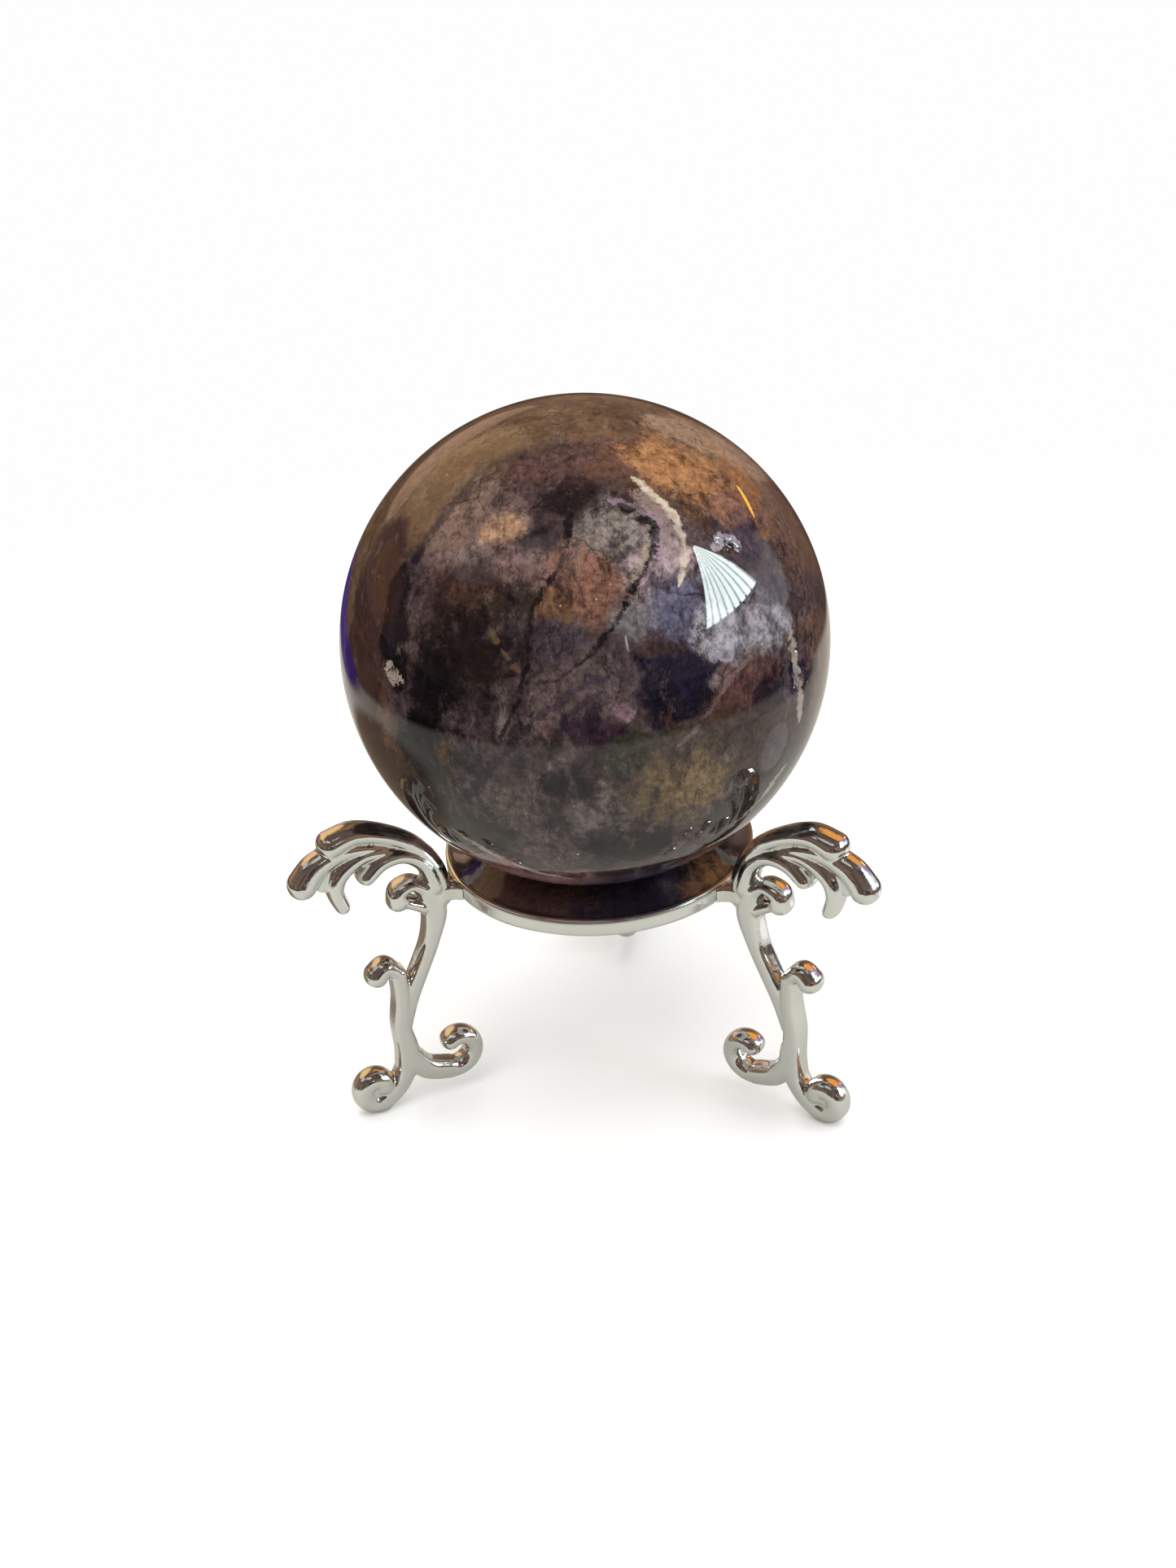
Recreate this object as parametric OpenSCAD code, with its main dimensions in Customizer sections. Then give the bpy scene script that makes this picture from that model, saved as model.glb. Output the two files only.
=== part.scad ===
// Polished stone ball resting on a silver-plated three-legged scroll stand.
// Millimetres, +Z up.  The origin is on the stand's axis, on the surface that it stands on.
// The rear leg points along +Y; the two front legs lie sixty degrees either side of -Y.

/* [Ball] */
// Diameter of the stone ball
ball_d = 60; // [54:1:66]
// Gap left between the ball and its seat, so that the two are never fused
ball_gap = 0.08; // [0.04:0.02:0.2]

/* [Seat ring] */
// Outside diameter of the ring
ring_d = 40; // [38:0.5:42]
// Diameter of the hole in the ring
ring_hole_d = 18.8; // [16:0.2:22]
// Height of the ring's rim above the ground
ring_top = 31.7; // [31:0.1:32.4]
// Height of the ring's outer wall
ring_wall = 2.3; // [1.8:0.1:3]
// How much lower the dished top lies at the hole than at the rim
ring_dish = 0.3; // [0:0.05:0.5]
// Radius that the hole's upper edge is rounded to
ring_lip = 0.8; // [0.4:0.1:1]

/* [Legs] */
// Half the casting's width between its flat sides, at the stem
stem_half = 1.6; // [1.4:0.1:1.9]
// Half the casting's width across the crest of the plume
plume_half = 2.1; // [1.7:0.1:2.4]
// Depth that is ground off the underside of each foot to make it sit flat
foot_flat = 0.35; // [0.2:0.05:0.5]

/* [Solder] */
// Height of each solder joint
solder_h = 1.9; // [1.5:0.1:2.2]
// Radius of the hollow fillets that run from the leg's sides into the ring
solder_fillet = 2.2; // [1.5:0.1:2.6]
// Radius of the drop that stands proud where the solder ran over the rim
solder_drop_r = 0.8; // [0.5:0.1:0.9]

/* [Hidden] */

// Angles of the legs about the axis
FRONT_LEFT = 210;
FRONT_RIGHT = 330;
REAR = 90;

ring_r = ring_d / 2;
hole_r = ring_hole_d / 2;
ball_r = ball_d / 2;
// The ball bears on the rounded edge of the hole
seat_z = ring_top - ring_dish;
ball_z = seat_z - ring_lip + sqrt(pow(ball_r + ring_lip, 2) - pow(hole_r + ring_lip, 2)) + ball_gap;

// The legs stop this far short of the ring, and the solder fills the space
leg_gap = 0.03;

// The ring's rim: width of the chamfer outside, of the raised flat, and the step down behind it
RIM_CHAMFER = 0.2;
RIM_FLAT = 0.7;
RIM_STEP = 0.15;

// The solder: how far it reaches out from the ring, how far its top lies below the rim,
// and how far it is drawn into the ring before the ring's own shape is cut from it
SOLDER_REACH = 1.6;
SOLDER_TOP = 0.3;
SOLDER_LAP = 2;

// Middle of the drop: outward from the ring's wall, sideways from the leg, and down from the rim
DROP_AT = [0.5, 1.1, -0.4];

// Size of the block below the ground that grinds the feet flat
GROUND = [60, 20, 10];

// Each strand of the leg is a list of beads [distance from the axis, height, half thickness].
// A scroll is the stretch of a strand that winds about a centre.
function scroll(centre, reach, turn, thick, n = 6) = [
    for (i = [0:n])
        let (k = i / n, a = turn[0] + (turn[1] - turn[0]) * k, r = reach[0] + (reach[1] - reach[0]) * k)
            [centre[0] + r * cos(a), centre[1] + r * sin(a), thick[0] + (thick[1] - thick[0]) * k]
];

// Runs a smooth curve through the hand-set beads and sets n beads for each space between two of them
function between(a, b, c, d, t) =
    0.5 * (2 * b + (c - a) * t + (2 * a - 5 * b + 4 * c - d) * t * t + (3 * b - a - 3 * c + d) * t * t * t);
function smooth(p, n = 2) = [
    for (i = [0:len(p) - 2], j = [0:n - 1])
        between(p[max(i - 1, 0)], p[i], p[i + 1], p[min(i + 2, len(p) - 1)], j / n),
    p[len(p) - 1]
];

// Plume: four lobes that spring from the top of the stem and arch outward
CREST = smooth([[21.9, 29.6, 1.3], [22.4, 33.8, 1.25], [24.7, 37.8, 1.2], [28.2, 40.4, 1.2],
                [32.2, 41.8, 1.4], [35.3, 41.1, 1.7]]);
OUTER_LOBE = smooth([[28.4, 38.8, 1.0], [33.5, 39.8, 1.3], [37.3, 38.7, 1.7], [39.4, 36.5, 1.9]]);
DROP_LOBE = smooth([[27.6, 38.2, 0.9], [31.4, 38.6, 1.15], [34.6, 36.9, 1.35], [35.5, 34.6, 1.15],
                    [34.9, 32.4, 0.8]]);
INNER_LOBE = smooth([[22.8, 31.6, 1.2], [23.9, 35.2, 1.2], [26.4, 37.3, 1.25], [29.3, 37.2, 1.3],
                     [31.5, 35.6, 1.2]]);
WEB = [[36.4, 37.2, 1.5], [36.9, 35.6, 0.9]];

// Upper stem, from the rolled bud beneath the plume down into the lower stem
BUD = smooth([[27.8, 30.7, 1.45], [27.6, 32.1, 1.2], [25.8, 32.7, 1.0], [24.3, 31.4, 1.1]]);
BUD_HEEL = [[27.8, 30.7, 1.3], [26.4, 30.1, 0.9], [24.6, 29.0, 1.0]];
UPPER_STEM = smooth([[24.0, 31.6, 1.3], [23.2, 28.2, 1.6], [24.2, 24.0, 1.15], [25.9, 20.2, 1.1],
                     [27.8, 16.4, 1.2], [29.0, 12.6, 1.2]]);

// Middle bud, whose strand runs down as the outer half of the lower stem
MIDDLE_BUD = smooth([[31.8, 20.6, 1.6], [30.6, 21.6, 1.3], [29.1, 20.2, 1.1]]);
LOWER_STEM = smooth([[29.1, 20.2, 1.1], [29.0, 16.6, 1.1], [29.5, 12.4, 1.2], [29.1, 8.2, 1.5],
                     [29.4, 5.4, 1.4]]);

// Foot: one scroll turns inward and up, the other outward and rests on the ground
INNER_RUN = smooth([[29.0, 7.4, 1.5], [26.8, 4.4, 1.5], [23.6, 3.2, 1.4]]);
INNER_SCROLL = scroll([22.5, 6.1], [3.1, 2.0], [-80, -265], [1.4, 1.45], 6);
OUTER_RUN = smooth([[29.3, 5.6, 1.4], [30.9, 3.0, 1.3], [33.2, 1.4, 1.45]]);
FOOT_REACH = 2.4;
FOOT_THICK = 1.5;
OUTER_SCROLL = scroll([33.8, FOOT_REACH + FOOT_THICK - foot_flat], [FOOT_REACH, 0.9], [-105, 150],
                      [FOOT_THICK, 1.6], 7);

// A bead is two discs across the strand, a small one out to its flat faces and a full one inside it.
// Each section is [depth of the full disc, radius of the small disc], as parts of the half width and radius.
ROUNDED = [0.42, 0.45];
SOFTENED = [0.6, 0.72];
SQUARED = [0.78, 0.75];

module bead(b, half, section) {
    translate([b[0], 0, b[1]])
        rotate([90, 0, 0]) {
            cylinder(h = 2 * half * section[0], r = b[2], center = true, $fn = 10);
            cylinder(h = 2 * half, r = b[2] * section[1], center = true, $fn = 10);
        }
}

// A strand: neighbouring beads joined, its half width running from the first value to the last
module strand(beads, half, section) {
    last = len(beads) - 1;
    for (i = [0:last - 1])
        hull() {
            bead(beads[i], half[0] + (half[1] - half[0]) * i / last, section);
            bead(beads[i + 1], half[0] + (half[1] - half[0]) * (i + 1) / last, section);
        }
}

module leg(angle) {
    rotate([0, 0, angle])
        difference() {
            union() {
                strand(CREST, [stem_half, plume_half], ROUNDED);
                strand(OUTER_LOBE, [1.3, plume_half - 0.1], ROUNDED);
                strand(DROP_LOBE, [1.4, 1.5], ROUNDED);
                strand(WEB, [0.9, 0.8], ROUNDED);
                strand(INNER_LOBE, [stem_half, 1.9], ROUNDED);
                strand(BUD, [1.9, stem_half], ROUNDED);
                strand(BUD_HEEL, [1.5, stem_half], ROUNDED);
                strand(UPPER_STEM, [stem_half, stem_half], SQUARED);
                strand(MIDDLE_BUD, [1.9, stem_half], ROUNDED);
                strand(LOWER_STEM, [stem_half, stem_half], SQUARED);
                strand(INNER_RUN, [stem_half, stem_half], SOFTENED);
                strand(INNER_SCROLL, [stem_half, 1.7], ROUNDED);
                strand(OUTER_RUN, [stem_half, stem_half], SOFTENED);
                strand(OUTER_SCROLL, [stem_half, 1.8], ROUNDED);
            }
            translate([0, 0, ring_top - 2 * ring_wall])
                cylinder(h = 3 * ring_wall, r = ring_r + leg_gap, $fn = 96);
            translate([0, -GROUND[1] / 2, -GROUND[2]])
                cube(GROUND);
        }
}

module crystal_ball() {
    color("#5a4458")
        translate([0, 0, ball_z])
            sphere(r = ball_r, $fn = 96);
}

module seat_ring() {
    color("silver")
        rotate_extrude($fn = 96)
            union() {
                polygon([[hole_r + ring_lip, ring_top - ring_wall], [ring_r, ring_top - ring_wall],
                         [ring_r, ring_top - RIM_CHAMFER], [ring_r - RIM_CHAMFER, ring_top],
                         [ring_r - RIM_CHAMFER - RIM_FLAT, ring_top - RIM_STEP],
                         [hole_r + ring_lip, seat_z]]);
                translate([hole_r + ring_lip, seat_z - ring_lip])
                    circle(r = ring_lip, $fn = 32);
            }
}

module solder(angle) {
    rotate([0, 0, angle])
        difference() {
            union() {
                translate([0, 0, ring_top - SOLDER_TOP - solder_h])
                    linear_extrude(height = solder_h)
                        difference() {
                            translate([ring_r - SOLDER_LAP, -stem_half - solder_fillet])
                                square([SOLDER_LAP + SOLDER_REACH, 2 * (stem_half + solder_fillet)]);
                            for (side = [-1, 1])
                                translate([ring_r + SOLDER_REACH, side * (stem_half + solder_fillet)])
                                    circle(r = solder_fillet, $fn = 48);
                        }
                translate([ring_r, 0, ring_top] + DROP_AT)
                    sphere(r = solder_drop_r, $fn = 32);
            }
            cylinder(h = 2 * ring_top, r = ring_r, $fn = 96);
        }
}

module leg_front_left() {
    color("silver")
        leg(FRONT_LEFT);
}

module leg_front_right() {
    color("silver")
        leg(FRONT_RIGHT);
}

module leg_rear() {
    color("silver")
        leg(REAR);
}

module solder_front_left() {
    color("lightgray")
        solder(FRONT_LEFT);
}

module solder_front_right() {
    color("lightgray")
        solder(FRONT_RIGHT);
}

module solder_rear() {
    color("lightgray")
        solder(REAR);
}

crystal_ball();
seat_ring();
leg_front_left();
leg_front_right();
leg_rear();
solder_front_left();
solder_front_right();
solder_rear();
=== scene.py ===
"""A dark, veined fluorite ball resting on a three-legged, silver-plated scroll stand."""

import logging
import math
from collections.abc import Iterable, Sequence
from dataclasses import dataclass
from enum import Enum

import bmesh
import bpy
from mathutils import Euler, Matrix, Vector, noise


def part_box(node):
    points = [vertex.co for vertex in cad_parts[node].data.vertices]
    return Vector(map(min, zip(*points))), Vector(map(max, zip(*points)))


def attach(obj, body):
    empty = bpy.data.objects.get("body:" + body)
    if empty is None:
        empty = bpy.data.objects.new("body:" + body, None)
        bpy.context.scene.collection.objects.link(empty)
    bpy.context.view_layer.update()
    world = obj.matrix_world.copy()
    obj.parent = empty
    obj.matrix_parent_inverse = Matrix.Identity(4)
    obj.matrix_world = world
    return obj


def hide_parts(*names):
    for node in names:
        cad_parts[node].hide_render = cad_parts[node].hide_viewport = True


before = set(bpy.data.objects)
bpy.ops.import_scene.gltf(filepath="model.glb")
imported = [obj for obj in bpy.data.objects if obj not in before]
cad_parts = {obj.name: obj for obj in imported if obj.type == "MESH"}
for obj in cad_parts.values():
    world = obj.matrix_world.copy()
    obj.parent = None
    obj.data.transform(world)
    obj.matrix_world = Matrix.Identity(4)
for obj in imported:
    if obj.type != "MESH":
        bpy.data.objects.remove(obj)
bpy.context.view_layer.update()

log = logging.getLogger("crystal_ball")
MM = 0.001
Bead = tuple[float, float, float]
Station = tuple[Vector, Vector, float, float]
Colour = tuple[float, float, float, float]
Socket = bpy.types.NodeSocket


class Body(Enum):
    """The moving bodies of the frame."""

    STAND = "stand"
    BALL = "ball"


class Slot(Enum):
    """The finishes that the record names."""

    FLUORITE = "fluorite"
    SILVER = "silver_plate"
    SOLDER = "plated_solder"


class Section(Enum):
    """How square a strand of the casting is across, as a superellipse exponent."""

    ROUNDED = 2.1
    SOFTENED = 3.0
    SQUARED = 3.7


# ---------------------------------------------------------------- nodes and small tools


def linear(code: str, gain: float = 1.0) -> Colour:
    """Turn an sRGB hex colour into linear RGBA.

    Args:
        code: colour as "#rrggbb".
        gain: multiplies the three linear channels.

    Returns:
        Linear red, green and blue, and an alpha of one.
    """
    parts = [int(code[i : i + 2], 16) / 255 for i in (1, 3, 5)]
    curve = [c / 12.92 if c <= 0.04045 else ((c + 0.055) / 1.055) ** 2.4 for c in parts]
    return (curve[0] * gain, curve[1] * gain, curve[2] * gain, 1.0)


def add(tree: bpy.types.NodeTree, kind: str, settings: dict | None = None,
        inputs: dict | None = None) -> bpy.types.Node:
    """Add a node with its settings, and set or link its inputs.

    Args:
        tree: node tree to add to.
        kind: node type without its "ShaderNode" prefix.
        settings: attribute names and values.
        inputs: socket name or index, and a value or an output socket to link.

    Returns:
        The new node.
    """
    node = tree.nodes.new("ShaderNode" + kind)
    for name, value in (settings or {}).items():
        setattr(node, name, value)
    for key, value in (inputs or {}).items():
        if isinstance(value, Socket):
            tree.links.new(value, node.inputs[key])
        else:
            node.inputs[key].default_value = value
    return node


def heading(lon: float, lat: float) -> Vector:
    """Unit vector for a longitude from -Y towards +X and a latitude, both in degrees."""
    a, b = math.radians(lon), math.radians(lat)
    return Vector((math.cos(b) * math.sin(a), -math.cos(b) * math.cos(a), math.sin(b)))


def catmull(points: Sequence[Sequence[float]], steps: int) -> list[tuple[float, ...]]:
    """Run a smooth curve through points.

    Args:
        points: control points of any dimension.
        steps: samples between two control points.

    Returns:
        The sampled points, the last control point included.
    """
    ends = [points[0], *points, points[-1]]
    out = []
    for a, b, c, d in zip(ends, ends[1:], ends[2:], ends[3:]):
        for i in range(steps):
            t = i / steps
            out.append(tuple(0.5 * (2 * q + (r - p) * t + (2 * p - 5 * q + 4 * r - s) * t * t
                                    + (3 * q - p - 3 * r + s) * t ** 3)
                             for p, q, r, s in zip(a, b, c, d)))
    out.append(tuple(points[-1]))
    return out


def scroll(centre: tuple[float, float], reach: tuple[float, float], turn: tuple[float, float],
           thick: tuple[float, float], count: int) -> list[Bead]:
    """Wind beads round a centre on a spiral.

    Args:
        centre: radius and height of the middle, in mm.
        reach: distance from the middle at the start and the end, in mm.
        turn: angle at the start and the end, in degrees.
        thick: half thickness at the start and the end, in mm.
        count: number of steps.

    Returns:
        Beads of radius, height and half thickness.
    """
    beads = []
    for i in range(count + 1):
        t = i / count
        r = reach[0] + (reach[1] - reach[0]) * t
        a = math.radians(turn[0] + (turn[1] - turn[0]) * t)
        beads.append((centre[0] + r * math.cos(a), centre[1] + r * math.sin(a),
                      thick[0] + (thick[1] - thick[0]) * t))
    return beads


def mesh_object(name: str, bm: bmesh.types.BMesh) -> bpy.types.Object:
    """Turn a bmesh into a smooth-shaded object in the scene.

    Args:
        name: object name.
        bm: mesh in metres, freed afterwards.

    Returns:
        The linked object.
    """
    mesh = bpy.data.meshes.new(name)
    bm.to_mesh(mesh)
    bm.free()
    mesh.shade_smooth()
    obj = bpy.data.objects.new(name, mesh)
    bpy.context.scene.collection.objects.link(obj)
    return obj


def fuse(obj: bpy.types.Object, voxel: float, rounds: int) -> None:
    """Melt overlapping closed shells into one skin and relax it.

    Args:
        obj: mesh object, changed in place.
        voxel: cell of the remesh, in mm.
        rounds: smoothing passes.
    """
    remesh = obj.modifiers.new("skin", "REMESH")
    remesh.mode, remesh.voxel_size, remesh.use_smooth_shade = "VOXEL", voxel * MM, True
    relax = obj.modifiers.new("relax", "SMOOTH")
    relax.factor, relax.iterations = 0.5, rounds
    graph = bpy.context.evaluated_depsgraph_get()
    fused = bpy.data.meshes.new_from_object(obj.evaluated_get(graph))
    obj.modifiers.clear()
    obj.data = fused
    fused.shade_smooth()


def settle(obj: bpy.types.Object, body: Body, node: str,
           finish: bpy.types.Material) -> None:
    """Dress a finished piece and hand it to the frame.

    Args:
        obj: the piece.
        body: the body that it rides on.
        node: the CAD node that it stands for.
        finish: its material.
    """
    obj.data.materials.clear()
    obj.data.materials.append(finish)
    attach(obj, body.value)
    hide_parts(node)
    log.info("%s: %d faces on %s", obj.name, len(obj.data.polygons), body.value)


# ---------------------------------------------------------------- patches and veins on a sphere

# Half length of each oval of a vein, as a share of its stretch: a little over half, so that they overlap
OVERLAP = 0.55


@dataclass(frozen=True)
class Patch:
    """An oval area on a unit sphere, in degrees, with a colour.

    Attributes: longitude and latitude of its middle, half length, half width, the turn of its length
    from east towards north, colour, share of its radius that fades, and how fully it covers.
    """

    lon: float
    lat: float
    long: float
    wide: float
    turn: float
    colour: str
    soft: float = 0.5
    cover: float = 0.9

    def mask(self, tree: bpy.types.NodeTree, at: Socket, ragged: Socket | None = None) -> Socket:
        """Draw the patch as a mask.

        Args:
            tree: node tree.
            at: point on the unit sphere.
            ragged: noise about zero that breaks the edge up, if given.

        Returns:
            Cover inside, fading to nothing at the edge.
        """
        up = heading(self.lon, self.lat)
        lon, turn = math.radians(self.lon), math.radians(self.turn)
        east = Vector((math.cos(lon), math.sin(lon), 0))
        along = east * math.cos(turn) + up.cross(east) * math.sin(turn)
        if self.wide > self.long:
            along = up.cross(along)
        sizes = sorted((math.radians(self.long), math.radians(self.wide)))
        oval = Oval(up, along, sizes[1], sizes[0])
        away = oval.away(tree, at, ragged)
        return edge(tree, away, 1 - self.soft + oval.start, 1 + self.soft + oval.start, self.cover)


@dataclass(frozen=True)
class Vein:
    """A crooked line on a unit sphere.

    Attributes: longitudes and latitudes that it runs through, half width in degrees, colour, share that
    fades, how fully it covers, and how much its sides are torn.
    """

    points: tuple[tuple[float, float], ...]
    wide: float
    colour: str
    soft: float = 0.5
    cover: float = 0.9
    torn: float = 2.2

    def mask(self, tree: bpy.types.NodeTree, at: Socket, ragged: Socket) -> Socket:
        """Draw the vein as a mask, from one long oval for each of its stretches.

        Args:
            tree: node tree.
            at: point on the unit sphere.
            ragged: noise about zero that tears the sides.

        Returns:
            Cover along the line, fading to nothing at its sides.
        """
        nearest = None
        across = math.radians(self.wide)
        for start, end in zip(self.points, self.points[1:]):
            a, b = heading(*start), heading(*end)
            reach = (b - a).length * OVERLAP + across
            oval = Oval((a + b).normalized(), (b - a).normalized(), reach, across)
            away = oval.away(tree, at, -oval.start)
            nearest = away if nearest is None else add(tree, "Math", {"operation": "MINIMUM"},
                                                       {0: nearest, 1: away}).outputs[0]
        frayed = add(tree, "Math", {"operation": "MULTIPLY_ADD"}, {0: ragged, 1: self.torn, 2: nearest})
        return edge(tree, frayed.outputs[0], 1 - self.soft, 1 + self.soft, self.cover)


@dataclass(frozen=True)
class Oval:
    """An ellipse on a unit sphere, drawn like a gardener's with two pegs and a string.

    Attributes: its middle, the direction of its length, half length and half width in radians.
    """

    up: Vector
    along: Vector
    long: float
    wide: float

    @property
    def peg(self) -> float:
        """Angle from the middle to either peg."""
        return math.sqrt(max(self.long ** 2 - self.wide ** 2, 0.0))

    @property
    def start(self) -> float:
        """What away gives on the line between the pegs; the ellipse itself is one more."""
        return self.peg / (self.long - self.peg)

    def away(self, tree: bpy.types.NodeTree, at: Socket, more: Socket | float | None) -> Socket:
        """Measure how far out a point is.

        Args:
            tree: node tree.
            at: point on the unit sphere.
            more: added to the result.

        Returns:
            Start on the line between the pegs, and one more than that on the ellipse.
        """
        side = self.along * math.sin(self.peg)
        pegs = [self.up * math.cos(self.peg) + side, self.up * math.cos(self.peg) - side]
        strings = [add(tree, "VectorMath", {"operation": "DISTANCE"}, {0: at, 1: peg}).outputs[1]
                   for peg in pegs]
        string = add(tree, "Math", {"operation": "ADD"}, {0: strings[0], 1: strings[1]}).outputs[0]
        return add(tree, "Math", {"operation": "MULTIPLY_ADD"},
                   {0: string, 1: 0.5 / (self.long - self.peg), 2: more or 0.0}).outputs[0]


def edge(tree: bpy.types.NodeTree, away: Socket, inner: float, outer: float, cover: float) -> Socket:
    """Turn a distance into a mask that is cover inside inner and fades to nothing at outer."""
    return add(tree, "MapRange", {"interpolation_type": "SMOOTHSTEP"},
               {0: away, 1: inner, 2: outer, 3: cover, 4: 0.0}).outputs[0]


def mix(tree: bpy.types.NodeTree, under: Socket | tuple, over: Socket | tuple, share: Socket | float,
        blend: str = "MIX") -> Socket:
    """Lay one colour over another and return the result."""
    return add(tree, "Mix", {"data_type": "RGBA", "blend_type": blend, "clamp_factor": True},
               {0: share, 6: under, 7: over}).outputs[2]


def grain(tree: bpy.types.NodeTree, at: Socket, size: float, detail: float = 4.0,
          rough: float = 0.6) -> bpy.types.Node:
    """Noise whose largest features are size across, in the units of its point."""
    return add(tree, "TexNoise", {},
               {"Vector": at, "Scale": 1 / size, "Detail": detail, "Roughness": rough})


def band(tree: bpy.types.NodeTree, value: Socket, low: float, high: float, start: float = 0.0,
         end: float = 1.0) -> Socket:
    """Stretch a value's range smoothly from low to high onto start to end."""
    return add(tree, "MapRange", {"interpolation_type": "SMOOTHSTEP"},
               {0: value, 1: low, 2: high, 3: start, 4: end}).outputs[0]


def shifted(tree: bpy.types.NodeTree, at: Socket, size: float, amount: float, detail: float) -> Socket:
    """Push a point about by noise, so that what is drawn with it gets ragged borders.

    Args:
        tree: node tree.
        at: the point.
        size: size of the noise's largest features, in the point's units.
        amount: how far the point is pushed, in the same units.
        detail: octaves of finer noise.

    Returns:
        The pushed point.
    """
    cloud = add(tree, "SeparateColor", {}, {0: grain(tree, at, size, detail, 0.62).outputs[1]}).outputs
    push = add(tree, "CombineXYZ", {}, {0: cloud[0], 1: cloud[1], 2: cloud[2]}).outputs[0]
    centred = add(tree, "VectorMath", {"operation": "SUBTRACT"}, {0: push, 1: (0.5, 0.5, 0.5)})
    return add(tree, "VectorMath", {"operation": "MULTIPLY_ADD"},
               {0: centred.outputs[0], 1: (amount,) * 3, 2: at}).outputs[0]


# ---------------------------------------------------------------- finishes


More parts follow.
